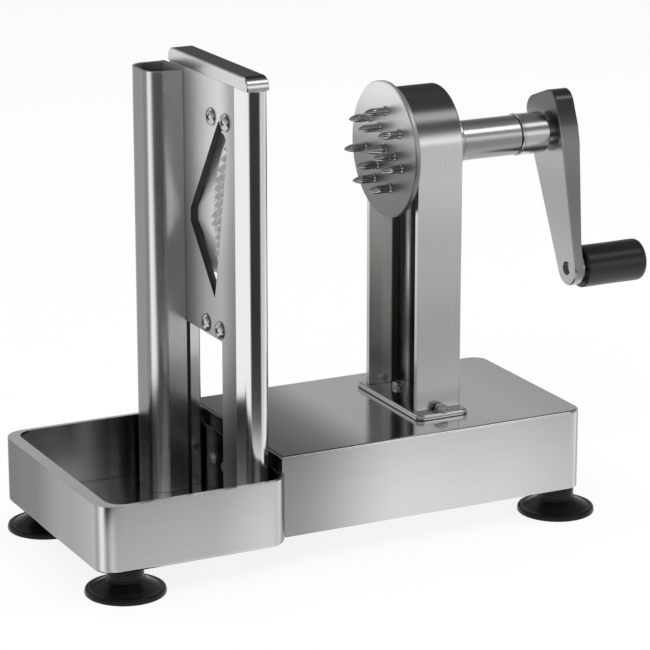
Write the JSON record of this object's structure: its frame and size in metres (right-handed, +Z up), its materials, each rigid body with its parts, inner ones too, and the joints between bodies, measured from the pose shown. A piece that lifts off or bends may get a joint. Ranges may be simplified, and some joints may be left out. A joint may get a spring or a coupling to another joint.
{
  "type": "hand cranked spiralizer",
  "caption": "Hand cranked vegetable spiralizer: open tray and base on suction feet, slotted blade frame, and a post with a sliding spiked disc turned by a crank with a free-turning grip.",
  "frame": {"origin": "on the table, under the middle of the whole part's box", "axes": "+X from the tray to the crank along the crank axis, +Y to the side away from the user, +Z up"},
  "size_m": [0.34, 0.15, 0.257],
  "materials": {
    "brushed_panel_steel": "brushed stainless sheet, satin",
    "satin_post_steel": "brushed stainless pressing, satin",
    "blade_steel": "ground blade steel",
    "turned_steel": "turned stainless, fine circular grain",
    "forged_arm_steel": "cast stainless, brushed along the arm",
    "polished_steel": "polished stainless",
    "plated_fasteners": "plain stainless fasteners",
    "bronze_bush": "sintered bronze",
    "black_rubber": "satin moulded rubber",
    "black_grip_plastic": "fine matte moulded plastic",
    "acetal_bush": "plain acetal"
  },
  "bodies": {
    "frame": {"tray": "brushed_panel_steel", "base_shell": "brushed_panel_steel", "base_bottom_plate": "brushed_panel_steel", "base_standoffs": "plated_fasteners", "base_plate_screws": "plated_fasteners", "foot_tray_near": "black_rubber", "foot_tray_far": "black_rubber", "foot_base_near": "black_rubber", "foot_base_far": "black_rubber", "foot_studs": "plated_fasteners", "foot_nuts": "plated_fasteners", "front_column": "brushed_panel_steel", "front_column_plug": "plated_fasteners", "rear_leg": "brushed_panel_steel", "rear_leg_plug": "plated_fasteners", "column_screws": "plated_fasteners", "rear_channel": "brushed_panel_steel", "frame_panel": "brushed_panel_steel", "frame_cap": "brushed_panel_steel", "blade_carrier": "blade_steel", "toothed_blade": "blade_steel", "slicing_knife": "blade_steel", "blade_rivets": "plated_fasteners", "centre_pin": "polished_steel", "blade_screws": "polished_steel", "blade_nuts": "plated_fasteners", "post": "satin_post_steel", "post_foot_plate": "brushed_panel_steel", "post_bolts": "polished_steel", "post_washers": "plated_fasteners", "post_nuts": "plated_fasteners", "bearing_housing": "turned_steel", "housing_nut": "turned_steel", "key_screw": "plated_fasteners", "joint_bolts": "plated_fasteners", "joint_nuts": "plated_fasteners"},
    "quill": {"quill": "turned_steel", "quill_bushes": "bronze_bush"},
    "crank": {"crank_shaft": "turned_steel", "spiked_disc": "turned_steel", "spikes": "polished_steel", "centre_point": "polished_steel", "collar": "turned_steel", "collar_screw": "plated_fasteners", "crank_arm": "forged_arm_steel", "arm_washer": "turned_steel", "arm_screw": "polished_steel", "grip_axle": "turned_steel", "grip_washer": "turned_steel"},
    "handle": {"grip": "black_grip_plastic", "grip_sleeve": "acetal_bush", "grip_cap": "black_grip_plastic"}
  },
  "joints": [
    {"name": "feed_slide", "type": "slide", "parent": "frame", "child": "quill", "axis": [-1, 0, 0], "range_m": [0, 0.036]},
    {"name": "crank_spin", "type": "hinge", "parent": "quill", "child": "crank", "pos_m": [0, 0, 0.201], "axis": [1, 0, 0], "continuous": true},
    {"name": "grip_spin", "type": "hinge", "parent": "crank", "child": "handle", "pos_m": [0.151, -0.02582, 0.13005], "axis": [1, 0, 0], "continuous": true}
  ]
}
